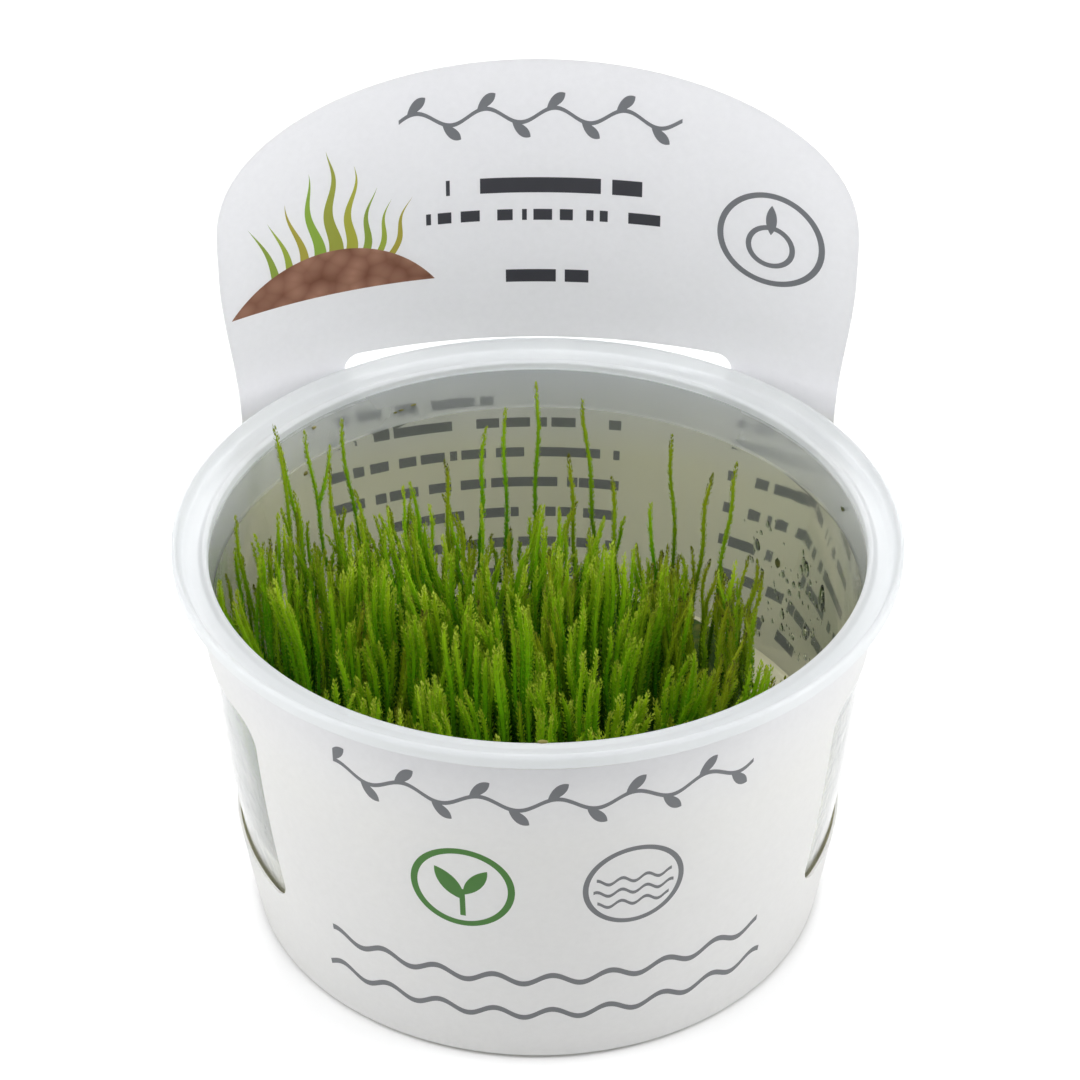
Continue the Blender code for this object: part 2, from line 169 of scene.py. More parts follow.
class Graph:
    """A material's node tree, with short calls for the nodes that it is built from."""

    def __init__(self, name):
        self.material = bpy.data.materials.new(name)
        self.material.use_nodes = True
        self.tree = self.material.node_tree
        self.shader = self.tree.nodes["Principled BSDF"]
        self.output = self.tree.nodes["Material Output"]

    def node(self, kind, inputs=(), **settings):
        """A new node, with its settings and its inputs as numbers, colours or links."""
        made = self.tree.nodes.new("ShaderNode" + kind)
        for key, value in settings.items():
            setattr(made, key, value)
        pairs = inputs.items() if isinstance(inputs, dict) else enumerate(inputs)
        for key, value in pairs:
            if value is None:
                continue
            if isinstance(value, bpy.types.NodeSocket):
                self.tree.links.new(value, made.inputs[key])
            else:
                made.inputs[key].default_value = value
        return made

    def math(self, operation, *values):
        """A Math node's result."""
        return self.node("Math", values, operation=operation).outputs[0]

    def within(self, value, middle, half):
        """1 where value is within half of middle, and 0 elsewhere."""
        return self.math("COMPARE", value, middle, half)

    def between(self, value, low, high):
        """1 where value lies from low to high, and 0 elsewhere."""
        return self.within(value, (low + high) / 2, (high - low) / 2)

    def both(self, *masks):
        """1 where every mask is 1."""
        result = masks[0]
        for mask in masks[1:]:
            result = self.math("MULTIPLY", result, mask)
        return result

    def either(self, *masks):
        """1 where any mask is 1."""
        result = masks[0]
        for mask in masks[1:]:
            result = self.math("MAXIMUM", result, mask)
        return result

    def distance(self, place, centre):
        """Distance of a place from a fixed point."""
        return self.node("VectorMath", (place, centre), operation="DISTANCE").outputs["Value"]

    def disc(self, place, centre, reach):
        """1 where a place is nearer to a fixed point than reach, and 0 elsewhere."""
        return self.math("LESS_THAN", self.distance(place, centre), reach)

    def mix(self, share, first, second):
        """A colour between two, by share."""
        made = self.node("Mix", data_type="RGBA")
        for key, value in ((0, share), (6, first), (7, second)):
            if isinstance(value, bpy.types.NodeSocket):
                self.tree.links.new(value, made.inputs[key])
            else:
                made.inputs[key].default_value = value
        return made.outputs[2]

    def noise(self, place, scale, detail=2.0, roughness=0.5):
        """A noise value round 0.5."""
        inputs = {"Vector": place, "Scale": scale, "Detail": detail, "Roughness": roughness}
        return self.node("TexNoise", inputs).outputs["Fac"]

    def ramp(self, value, *stops):
        """A colour ramp through (place, colour) stops."""
        made = self.node("ValToRGB", (value,))
        elements = made.color_ramp.elements
        while len(elements) < len(stops):
            elements.new(0.5)
        for element, (place, colour) in zip(elements, stops):
            element.position = place
            element.color = colour
        return made.outputs["Color"]

    def object_place(self):
        """The place in the object's own frame, which is the model's frame."""
        return self.node("TexCoord").outputs["Object"]

    def bump(self, height, strength, distance):
        """Link a bump of some height to the shader."""
        inputs = {"Height": height, "Strength": strength, "Distance": distance}
        made = self.node("Bump", inputs)
        self.link(made.outputs["Normal"], "Normal")

    def link(self, output, name):
        """Link an output to the shader."""
        self.tree.links.new(output, self.shader.inputs[name])

    def set(self, **values):
        """Set the shader's own sockets; a name's _ stands for a space."""
        for name, value in values.items():
            self.shader.inputs[name.replace("_", " ")].default_value = value


def rgb(red, green, blue):
    """A linear colour from the 0 to 255 values that a screen shows."""
    def linear(value):
        share = value / 255
        return share / 12.92 if share <= 0.04045 else ((share + 0.055) / 1.055) ** 2.4
    return (linear(red), linear(green), linear(blue), 1.0)


def plastic_material(name, clear, roughness):
    """Natural polypropylene: milky, see-through where something lies against it, softly glossy."""
    g = Graph(name)
    g.set(Roughness=roughness, IOR=1.49, Transmission_Weight=clear)
    place = g.object_place()
    cloud = g.noise(place, 60.0, 3.0)
    g.link(g.mix(cloud, rgb(230, 233, 235), rgb(242, 244, 245)), "Base Color")
    g.bump(g.noise(place, 420.0, 2.0), 0.12, 0.2 * MM)
    return g.material


def gel_material():
    """Clear, faintly beige nutrient gel with a wet surface."""
    g = Graph("gel")
    g.set(Roughness=0.08, IOR=1.34, Transmission_Weight=0.12)
    place = g.object_place()
    cloud = g.noise(place, 90.0, 4.0)
    g.link(g.mix(cloud, rgb(236, 232, 190), rgb(246, 242, 212)), "Base Color")
    g.bump(g.noise(place, 160.0, 2.0), 0.25, 0.5 * MM)
    return g.material


CARD_CLEARNESS = 0.36
INK_GREY = rgb(120, 122, 126)
INK_DARK = rgb(66, 66, 72)
INK_SOFT = rgb(126, 126, 120)
INK_GREEN = rgb(72, 126, 52)


def card_base(g, place):
    """The card's own colour, with fine fibres, as a colour output."""
    fibre = g.noise(place, 900.0, 3.0, 0.6)
    cloud = g.noise(place, 25.0, 2.0)
    pale = g.mix(fibre, rgb(232, 232, 234), rgb(240, 240, 242))
    g.bump(fibre, 0.1, 0.1 * MM)
    return g.mix(g.math("MULTIPLY", cloud, 0.25), pale, rgb(226, 227, 230))


def let_light_through(g, colour, share):
    """Let a share of the light through a thin surface, scattered."""
    through = g.node("BsdfTranslucent", {"Color": colour})
    blend = g.node("MixShader", {0: share, 1: g.shader.outputs[0], 2: through.outputs[0]})
    g.tree.links.new(blend.outputs[0], g.output.inputs["Surface"])


def vine(g, across, height, low, high, middle, wave):
    """A slim waving line with a row of small leaves beside it, as a mask."""
    period = 5.2 * MM
    phase = g.math("MULTIPLY", across, 2 * math.pi / (2 * period))
    sway = g.math("MULTIPLY", g.math("SINE", phase), wave)
    beside = g.math("SUBTRACT", height, g.math("ADD", sway, middle))
    line = g.within(beside, 0.0, 0.35 * MM)
    local = g.math("SUBTRACT", g.math("MODULO", g.math("ADD", across, 100 * period), period), period / 2)
    side = g.math("SIGN", g.math("SINE", phase))
    outward = g.math("MULTIPLY", beside, side)
    flat = g.node("CombineXYZ", (local, outward)).outputs[0]
    leaf_reach = 3.4 * MM
    leaf = g.both(
        g.disc(flat, (-1.9 * MM, 3.0 * MM, 0), leaf_reach),
        g.disc(flat, (2.1 * MM, -0.4 * MM, 0), leaf_reach))
    return g.both(g.either(line, leaf), g.between(across, low, high))


def dashes(g, across, height, low, high, middle, half, seed):
    """A row of plain rounded strokes of uneven length, as a mask."""
    row = g.node("CombineXYZ", (across, seed * 0.37, 0.0)).outputs[0]
    broken = g.math("GREATER_THAN", g.noise(row, 420.0, 1.0), 0.46)
    inside = g.between(across, low, high)
    return g.both(broken, inside, g.within(height, middle, half))


def waves(g, across, height, low, high, middle, reach, length, half):
    """A waving line, as a mask."""
    sway = g.math("MULTIPLY", g.math("SINE", g.math("MULTIPLY", across, 2 * math.pi / length)), reach)
    line = g.within(g.math("SUBTRACT", height, sway), middle, half)
    return g.both(line, g.between(across, low, high))


def ring(g, flat, centre, radius, half):
    """A ring, as a mask."""
    return g.within(g.distance(flat, (*centre, 0.0)), radius, half)


def leaf_shape(g, flat, centre, length, width, tilt):
    """A pointed leaf, where two discs overlap, as a mask."""
    reach = (length ** 2 + width ** 2) / (4 * width)
    offset = reach - width / 2
    across = (math.cos(tilt) * offset, math.sin(tilt) * offset)
    return g.both(
        g.disc(flat, (centre[0] + across[0], centre[1] + across[1], 0.0), reach),
        g.disc(flat, (centre[0] - across[0], centre[1] - across[1], 0.0), reach))


def outside_card_material():
    """The outer face: a plain band with a vine, two small round signs and rows of waves."""
    g = Graph("card_outside")
    g.set(Roughness=0.42, IOR=1.45)
    place = g.object_place()
    x, y, z = g.node("SeparateXYZ", (place,)).outputs
    angle = g.math("ARCTAN2", x, g.math("MULTIPLY", y, -1.0))
    across = g.math("MULTIPLY", angle, WALL_TOP_RADIUS)
    flat = g.node("CombineXYZ", (across, z)).outputs[0]
    colour = card_base(g, place)
    garland = vine(g, across, z, -29 * MM, 31 * MM, 51.8 * MM, 1.0 * MM)
    colour = g.mix(garland, colour, INK_GREY)
    left, right = (-10.5 * MM, 35.5 * MM), (13.5 * MM, 35.5 * MM)
    sprig = g.either(
        ring(g, flat, left, 6.9 * MM, 0.5 * MM),
        leaf_shape(g, flat, (left[0] - 1.8 * MM, left[1] + 0.6 * MM), 7.0 * MM, 2.6 * MM, math.radians(35)),
        leaf_shape(g, flat, (left[0] + 1.9 * MM, left[1] + 1.2 * MM), 6.0 * MM, 2.2 * MM, math.radians(-35)),
        g.both(g.within(across, left[0], 0.4 * MM), g.within(z, left[1] - 2.8 * MM, 2.6 * MM)))
    colour = g.mix(sprig, colour, INK_GREEN)
    pool = ring(g, flat, right, 6.9 * MM, 0.4 * MM)
    for half, up in ((5.4 * MM, 1.2 * MM), (5.8 * MM, -1.0 * MM), (5.2 * MM, -3.2 * MM)):
        start, end = right[0] - half, right[0] + half
        pool = g.either(pool, waves(g, across, z, start, end, right[1] + up, 0.5 * MM, 3.6 * MM, 0.3 * MM))
    colour = g.mix(pool, colour, INK_GREY)
    low_rows = g.either(
        waves(g, across, z, -33 * MM, 36 * MM, 17.8 * MM, 0.9 * MM, 8.6 * MM, 0.55 * MM),
        waves(g, across, z, -35 * MM, 38 * MM, 10.4 * MM, 0.9 * MM, 8.6 * MM, 0.55 * MM))
    colour = g.mix(low_rows, colour, INK_GREY)
    g.link(colour, "Base Color")
    let_light_through(g, colour, CARD_CLEARNESS)
    return g.material


def inside_card_material():
    """The inner face: the panel's front above the rim, and rows of strokes seen through the cup below it."""
    g = Graph("card_inside")
    g.set(Roughness=0.42, IOR=1.45)
    place = g.object_place()
    x, y, z = g.node("SeparateXYZ", (place,)).outputs
    # Painted light: the card's inner face turns warm beige from 60 mm down to 44 mm, standing in for light
    # tinted by the gel.
    gel_tinted_light = g.node("MapRange", {0: z, 1: 60 * MM, 2: 44 * MM}).outputs[0]
    colour = g.mix(gel_tinted_light, card_base(g, place), rgb(236, 233, 200))
    flat = g.node("CombineXYZ", (x, z)).outputs[0]
    above = g.math("GREATER_THAN", z, 66 * MM)
    title = g.both(above, vine(g, x, z, -20.7 * MM, 21.5 * MM, 103.2 * MM, 1.2 * MM))
    colour = g.mix(title, colour, INK_GREY)
    lines = g.either(
        dashes(g, x, z, -14.5 * MM, 16 * MM, 91.4 * MM, 1.3 * MM, 1),
        dashes(g, x, z, -17 * MM, 18.6 * MM, 86.3 * MM, 0.95 * MM, 2),
        dashes(g, x, z, -6.5 * MM, 7.8 * MM, 75.6 * MM, 1.1 * MM, 3))
    colour = g.mix(lines, colour, INK_DARK)
    sign = (35.0 * MM, 86.4 * MM)
    drop = g.either(
        ring(g, flat, sign, 7.4 * MM, 0.45 * MM),
        ring(g, flat, (sign[0], sign[1] - 1.2 * MM), 3.2 * MM, 0.4 * MM),
        leaf_shape(g, flat, (sign[0], sign[1] + 3.3 * MM), 5.0 * MM, 1.6 * MM, 0.0))
    colour = g.mix(drop, colour, INK_GREY)
    colour = water_picture(g, x, z, flat, colour)
    angle = g.math("ARCTAN2", x, y)
    around = g.math("MULTIPLY", angle, WALL_TOP_RADIUS)
    below = g.math("LESS_THAN", z, 56 * MM)
    first_line, line_spacing = 49.6 * MM, 5.4 * MM
    for number in range(6):
        middle = first_line - line_spacing * number
        left = dashes(g, around, z, -33 * MM, 13 * MM, middle, 0.85 * MM, 11 + number)
        right = dashes(g, around, z, 30 * MM, 64 * MM, middle, 0.85 * MM, 31 + number)
        colour = g.mix(g.both(below, g.either(left, right)), colour, INK_SOFT)
    heads = g.either(
        dashes(g, around, z, -33 * MM, -6 * MM, 53.6 * MM, 0.9 * MM, 51),
        dashes(g, around, z, 30 * MM, 58 * MM, 53.6 * MM, 0.9 * MM, 52))
    colour = g.mix(g.both(below, heads), colour, INK_DARK)
    g.link(colour, "Base Color")
    let_light_through(g, colour, CARD_CLEARNESS)
    return g.material


def water_picture(g, x, z, flat, colour):
    """A small printed picture: a low mound of pebbles with blades of water grass over it."""
    middle_x, ground = -31 * MM, 81.0 * MM
    for number in range(9):
        place = (number - 4) / 4
        foot = middle_x + place * 8.5 * MM
        height = (17.5 - 8.0 * abs(place) + 2.0 * math.sin(5.1 * number)) * MM
        lean = 0.35 * place
        up = g.math("SUBTRACT", z, ground)
        bent = g.math("MULTIPLY", g.math("SINE", g.math("MULTIPLY", up, 380 + 40 * number)), 0.5 * MM)
        line = g.math("ADD", g.math("ADD", g.math("MULTIPLY", up, lean), foot), bent)
        thin = g.math("MULTIPLY", g.math("SUBTRACT", height, up), 0.9 / 14)
        blade = g.math("LESS_THAN", g.math("ABSOLUTE", g.math("SUBTRACT", x, line)), thin)
        blade = g.both(blade, g.math("GREATER_THAN", up, 0.0))
        green = rgb(140 + 14 * (number % 3), 160 + 10 * (number % 2), 70)
        colour = g.mix(blade, colour, green)
    stones = g.node("TexVoronoi", {"Vector": flat, "Scale": 420.0})
    brown = g.mix(stones.outputs["Distance"], rgb(170, 128, 108), rgb(118, 78, 62))
    mound = g.both(
        g.disc(flat, (middle_x, ground - 16.5 * MM, 0.0), 19.0 * MM),
        g.math("GREATER_THAN", z, ground - 5.0 * MM))
    return g.mix(mound, colour, brown)


def card_edge_material():
    """The card's cut edge: bare white fibre."""
    g = Graph("card_edge")
    g.set(Roughness=0.8)
    place = g.object_place()
    fibre = g.noise(place, 1500.0, 2.0)
    g.link(g.mix(fibre, rgb(232, 231, 228), rgb(246, 246, 244)), "Base Color")
    g.bump(fibre, 0.2, 0.05 * MM)
    return g.material


def moss_material():
    """Leafy moss shoots: dark at the foot, partly their own older colour and partly painted shade, fresh
    green above, lime or olive-brown at the tips, and painted highlights towards each leaf's tip.
    """
    g = Graph("moss_leaf")
    g.set(Roughness=0.5, IOR=1.4, Specular_IOR_Level=0.35)
    place = g.object_place()
    age = g.node("Attribute", attribute_name="age").outputs["Fac"]
    tone = g.node("Attribute", attribute_name="tone").outputs["Fac"]
    edge = g.node("Attribute", attribute_name="edge").outputs["Fac"]
    # Darker towards each shoot's foot: partly the older stem's own colour, partly painted shade deep in the
    # tangle.
    body = g.ramp(
        age, (0.0, rgb(20, 56, 6)), (0.35, rgb(60, 136, 4)), (0.65, rgb(120, 192, 6)),
        (0.88, rgb(172, 214, 24)), (1.0, rgb(190, 208, 60)))
    bright = g.ramp(
        age, (0.0, rgb(40, 88, 6)), (0.35, rgb(96, 164, 8)), (0.65, rgb(150, 206, 12)),
        (0.88, rgb(200, 226, 40)), (1.0, rgb(222, 234, 96)))
    olive = g.ramp(
        age, (0.0, rgb(48, 74, 8)), (0.35, rgb(110, 150, 10)), (0.65, rgb(162, 190, 22)),
        (0.92, rgb(184, 190, 44)), (1.0, rgb(96, 82, 34)))
    lime_share = g.node("MapRange", {0: tone, 1: 0.62, 2: 0.95}).outputs[0]
    olive_share = g.node("MapRange", {0: tone, 1: 0.36, 2: 0.08}).outputs[0]
    colour = g.mix(lime_share, body, bright)
    colour = g.mix(olive_share, colour, olive)
    grain = g.noise(place, 700.0, 2.0)
    colour = g.mix(g.math("MULTIPLY", grain, 0.3), colour, rgb(64, 120, 10))
    # Painted highlight: leaves turn pale lime towards their tips by the edge value.
    colour = g.mix(g.math("MULTIPLY", edge, 0.75), colour, rgb(186, 210, 56))
    g.link(colour, "Base Color")
    let_light_through(g, colour, 0.3)
    return g.material


def mat_material():
    """The tangled base of the moss: dark green and brown."""
    g = Graph("moss_base")
    g.set(Roughness=0.75)
    place = g.object_place()
    blotch = g.noise(place, 260.0, 4.0, 0.65)
    colour = g.ramp(blotch, (0.3, rgb(30, 52, 8)), (0.5, rgb(60, 92, 14)), (0.7, rgb(104, 108, 36)))
    g.link(colour, "Base Color")
    g.bump(g.noise(place, 900.0, 3.0), 0.6, 0.5 * MM)
    return g.material


def water_material():
    """Clear water, for the drops on the wall."""
    g = Graph("water_drop")
    g.set(Roughness=0.02, IOR=1.33, Transmission_Weight=1.0, Base_Color=rgb(236, 242, 236))
    return g.material


def fleck_material():
    """Scraps of moss and gel that stuck to the plastic."""
    g = Graph("fleck")
    g.set(Roughness=0.6)
    blotch = g.noise(g.object_place(), 300.0, 2.0)
    g.link(g.ramp(blotch, (0.4, rgb(52, 62, 24)), (0.6, rgb(132, 126, 62))), "Base Color")
    return g.material


# Cup and gel


def turned(name, profile, segments, finish, sharp=40):
    """Turn an open (radius, z) profile, whose two ends lie on the axis, into a closed body."""
    rings = np.array(profile[1:-1])
    angles = 2 * math.pi * np.arange(segments) / segments
    points = [(0, 0, profile[0][1]), (0, 0, profile[-1][1])]
    for radius, z in rings:
        points += [(radius * math.cos(a), radius * math.sin(a), z) for a in angles]
    faces = []
    last = 2 + (len(rings) - 1) * segments
    for step in range(segments):
        following = (step + 1) % segments
        faces.append((0, 2 + following, 2 + step))
        faces.append((1, last + step, last + following))
        for row in range(len(rings) - 1):
            low = 2 + row * segments
            high = low + segments
            faces.append((low + step, low + following, high + following, high + step))
    mesh = bpy.data.meshes.new(name)
    mesh.from_pydata(points, [], faces)
    mesh.shade_smooth()
    mesh.set_sharp_from_angle(angle=math.radians(sharp))
    return add_object(name, mesh, finish)


def rounded_profile(points, reach, steps=3):
    """The profile with each corner turned into a short curve that starts reach before it."""
    smooth = [points[0]]
    for before, corner, after in zip(points, points[1:], points[2:]):
        corner_point = Vector(corner)
        into = Vector(before) - corner_point
        out = Vector(after) - corner_point
        start = corner_point + into.normalized() * min(reach, 0.45 * into.length)
        end = corner_point + out.normalized() * min(reach, 0.45 * out.length)
        for step in range(steps + 1):
            t = step / steps
            point = start * (1 - t) ** 2 + corner_point * 2 * t * (1 - t) + end * t * t
            smooth.append((point.x, point.y))
    smooth.append(points[-1])
    return smooth


def flange_profile():
    """The cup's rim from its underside, over the raised lip and the inner bead, down to the ledge."""
    return [
        (WALL_TOP_RADIUS, FLANGE_UNDERSIDE - 0.5 * MM),
        (WALL_TOP_RADIUS + 0.5 * MM, FLANGE_UNDERSIDE),
        (LIP_RADIUS - 0.9 * MM, FLANGE_UNDERSIDE + 0.2 * MM),
        (LIP_RADIUS - 0.1 * MM, FLANGE_UNDERSIDE + 0.8 * MM),
        (LIP_RADIUS, LIP_TOP - 0.5 * MM),
        (LIP_RADIUS - 0.4 * MM, LIP_TOP),
        (LIP_RADIUS - 0.9 * MM, LIP_TOP - 0.3 * MM),
        (LIP_RADIUS - 1.5 * MM, FLANGE_TOP + 0.3 * MM),
        (LIP_RADIUS - 2.3 * MM, FLANGE_TOP),
        (BEAD_INNER_RADIUS + 1.4 * MM, FLANGE_TOP),
        (BEAD_INNER_RADIUS + 0.7 * MM, FLANGE_TOP + 0.4 * MM),
        (BEAD_INNER_RADIUS + 0.1 * MM, FLANGE_TOP + 0.1 * MM),
        (BEAD_INNER_RADIUS, FLANGE_TOP - 0.8 * MM),
        (BEAD_INNER_RADIUS - 0.1 * MM, LEDGE_TOP),
        (inner_radius(LEDGE_BOTTOM) + 0.1 * MM, LEDGE_BOTTOM + 0.4 * MM),
        (inner_radius(LEDGE_BOTTOM), LEDGE_BOTTOM),
    ]


def make_cup():
    """The whole cup: base, tapering wall, ledge, collar and flange."""
    profile = [(0, 0)]
    profile.append((WALL_BASE_RADIUS - BASE_EDGE, 0))
    profile.append((wall_radius(0) - 0.4 * BASE_EDGE, 0.3 * BASE_EDGE))
    profile.append((wall_radius(BASE_EDGE), BASE_EDGE))
    for z in np.arange(5, 59, 4.4) * MM:
        profile.append((wall_radius(z), z))
    profile += flange_profile()
    for z in np.arange(50, 3, -4.6) * MM:
        profile.append((inner_radius(z), z))
    profile.append((inner_radius(0) - BASE_EDGE, BASE_THICKNESS))
    profile.append((0, BASE_THICKNESS))
    wall = plastic_material("cup_wall", 0.95, 0.08)
    cup = turned("cup_moulding", rounded_profile(profile, 0.25 * MM), 192, wall)
    cup.data.materials.append(plastic_material("cup_collar", 0.72, 0.22))
    cup.data.materials.append(plastic_material("cup_rim", 0.4, 0.42))
    for face in cup.data.polygons:
        height = face.center.z
        above_ledge = int(height > LEDGE_BOTTOM + 0.2 * MM)
        face.material_index = above_ledge + int(height > FLANGE_UNDERSIDE - 0.7 * MM)
    finish_piece(cup, "cup_plastic", "cup")


def make_gel():
    """The gel: it fills the cup's bottom, creeps up the wall and is a little uneven on top."""
    bottom = BASE_THICKNESS + GAP
    profile = [(0, bottom), (inner_radius(0) - BASE_EDGE - GAP, bottom)]
    for z in (3 * MM, 10 * MM, 15 * MM, GEL_TOP):
        profile.append((inner_radius(z) - GAP, z))
    profile.append((inner_radius(GEL_TOP) - GAP, GEL_TOP + MENISCUS))
    profile.append((inner_radius(GEL_TOP) - 0.5 * MM - GAP, GEL_TOP + 0.3 * MENISCUS))
    profile.append((inner_radius(GEL_TOP) - 1.6 * MM, GEL_TOP))
    for radius in (36, 28, 18, 8):
        profile.append((radius * MM, GEL_TOP))
    profile.append((0, GEL_TOP))
    gel = turned("gel_disc", rounded_profile(profile, 0.3 * MM), 128, gel_material())
    finish_piece(gel, "gel", "gel")


# Card sleeve


def crest(z):
    """How far back the middle of the sleeve's back panel stands at height z."""
    return BAND_CREST + (PANEL_CREST - BAND_CREST) * smooth_step(z, WALL_TOP, PANEL_UPRIGHT_FROM)


def panel_half_width(z):
    """Half the width of the back panel, which opens a little towards its shoulders."""
    rise = smooth_step(z, WALL_TOP, PANEL_FULL_WIDTH_FROM)
    return PANEL_HALF_AT_BAND + (PANEL_HALF - PANEL_HALF_AT_BAND) * rise


def panel_point(across, z):
    """A point of the back panel: across runs from -1 at its left edge to 1 at its right edge."""
    x = across * panel_half_width(z)
    y = crest(z) - PANEL_RADIUS + math.sqrt(PANEL_RADIUS ** 2 - x ** 2)
    return Vector((x, y, z))


def panel_top(across):
    """Height of the arched top edge."""
    return PANEL_SHOULDER + (PANEL_TOP - PANEL_SHOULDER) * (1 - across ** 2) ** (1 / ARCH_POWER)


def band_middle(z):
    """Radius of the middle of the card where it lies against the cup."""
    return wall_radius(z) + GAP + CARD / 2


def sleeve_columns(front_count, side_count, panel_count):
    """Each column's angle from the front, radius at the band's top, and place across the panel or None."""
    lying = band_middle(WALL_TOP)
    edge = panel_point(1, WALL_TOP)
    edge_distance = math.hypot(edge.x, edge.y)
    edge_angle = math.atan2(edge.x, -edge.y)
    leave_angle = edge_angle - math.acos(lying / edge_distance)
    right = []
    for step in range(1, side_count):
        angle = leave_angle + (edge_angle - leave_angle) * step / side_count
        right.append((angle, lying / math.cos(angle - leave_angle), None))
    panel = []
    for step in range(panel_count + 1):
        across = math.cos(math.pi * step / panel_count)
        point = panel_point(across, WALL_TOP)
        angle = math.atan2(point.x, -point.y) % (2 * math.pi)
        panel.append((angle, math.hypot(point.x, point.y), across))
    left = [(2 * math.pi - angle, radius, None) for angle, radius, _ in reversed(right)]
    front = []
    for step in range(front_count + 1):
        front.append((leave_angle * (2 * step / front_count - 1), lying, None))
    return front + right + panel + left


def sleeve_sheet():
    """The card as a sheet without thickness: a closed band, and the panel that rises from its back."""
    columns = sleeve_columns(112, 8, 96)
    rows = np.linspace(SLEEVE_BOTTOM, WALL_TOP, 24)
    count = len(columns)
    lying = band_middle(WALL_TOP)
    points = []
    faces = []
    for z in rows:
        bulge = smooth_step(z, BULGE_FROM, WALL_TOP)
        for angle, radius, _ in columns:
            at_height = band_middle(z) + bulge * (radius - lying)
            points.append((at_height * math.sin(angle), -at_height * math.cos(angle), z))
    for row in range(len(rows) - 1):
        for column in range(count):
            low = row * count + column
            low_next = row * count + (column + 1) % count
            faces.append((low, low_next, low_next + count, low + count))
    panel = [index for index, column in enumerate(columns) if column[2] is not None]
    below = [(len(rows) - 1) * count + index for index in panel]
    panel_rows = 20
    for row in range(1, panel_rows + 1):
        above = []
        for index in panel:
            across = columns[index][2]
            z = WALL_TOP + (panel_top(across) - WALL_TOP) * row / panel_rows
            above.append(len(points))
            points.append(panel_point(across, z))
        for place in range(len(panel) - 1):
            faces.append((below[place], below[place + 1], above[place + 1], above[place]))
        below = above
    return closed_mesh("sleeve_sheet", points, faces)


def closed_mesh(name, points, faces):
    """A mesh from points and faces, with its faces turned the same way."""
    mesh = bpy.data.meshes.new(name)
    mesh.from_pydata(points, [], faces)
    work = bmesh.new()
    work.from_mesh(mesh)
    bmesh.ops.recalc_face_normals(work, faces=work.faces)
    work.to_mesh(mesh)
    work.free()
    return mesh


def rounded_outline(low, high, corner, steps=10):
    """The corner-rounded rectangle between two (u, v) corners, as a list of points."""
    centres = (
        (high[0] - corner, high[1] - corner),
        (low[0] + corner, high[1] - corner),
        (low[0] + corner, low[1] + corner),
        (high[0] - corner, low[1] + corner),
    )
    outline = []
    for quarter, (u, v) in enumerate(centres):
        for step in range(steps + 1):
            angle = math.pi / 2 * (quarter + step / steps)
            outline.append((u + corner * math.cos(angle), v + corner * math.sin(angle)))
    return outline


def cutter(name, outline, place):
    """A prism through an outline; place turns (u, v, end) into a point, with end 0 or 1."""
    count = len(outline)
    points = [place(u, v, end) for end in (0, 1) for u, v in outline]
    faces = [tuple(range(count)), tuple(range(2 * count - 1, count - 1, -1))]
    for step in range(count):
        following = (step + 1) % count
        faces.append((step, following, count + following, count + step))
    return add_object(name, closed_mesh(name, points, faces))


def make_sleeve():
    """The card sleeve with its two side windows and the slot that the cup's rim pokes through."""
    blank = add_object("sleeve_blank", sleeve_sheet())
    thick = blank.modifiers.new("thickness", "SOLIDIFY")
    thick.thickness = CARD
    thick.offset = 0.0
    tools = []
    near, far = 25 * MM, 75 * MM
    for name, (side, front) in WINDOW_FRONTS.items():
        outline = rounded_outline((front, WINDOW_BOTTOM), (WINDOW_BACK, WINDOW_TOP), WINDOW_CORNER)
        tools.append(cutter(
            "window_" + name, outline,
            lambda u, v, end, side=side: (side * (near + (far - near) * end), u, v)))
    slot_corner = (SLOT_TOP - SLOT_BOTTOM) / 2 - 0.01 * MM
    outline = rounded_outline((-SLOT_LENGTH / 2, SLOT_BOTTOM), (SLOT_LENGTH / 2, SLOT_TOP), slot_corner)
    tools.append(cutter("slot", outline, lambda u, v, end: (u, (38 + 22 * end) * MM, v)))
    for tool in tools:
        step = blank.modifiers.new(tool.name, "BOOLEAN")
        step.operation = "DIFFERENCE"
        step.object = tool
    bpy.context.view_layer.update()
    shaped = blank.evaluated_get(bpy.context.evaluated_depsgraph_get())
    mesh = bpy.data.meshes.new_from_object(shaped)
    mesh.name = "sleeve_card"
    for made in [blank] + tools:
        bpy.data.objects.remove(made)
    finishes = (outside_card_material(), inside_card_material(), card_edge_material())
    sleeve = add_object("sleeve_card", mesh, *finishes)
    for face in mesh.polygons:
        outward = Vector((face.center.x, face.center.y, 0)).normalized().dot(face.normal)
        face.material_index = 0 if outward > 0.45 else 1 if outward < -0.45 else 2
    mesh.shade_smooth()
    mesh.set_sharp_from_angle(angle=math.radians(30))
    finish_piece(sleeve, "card", "sleeve")


# Moss


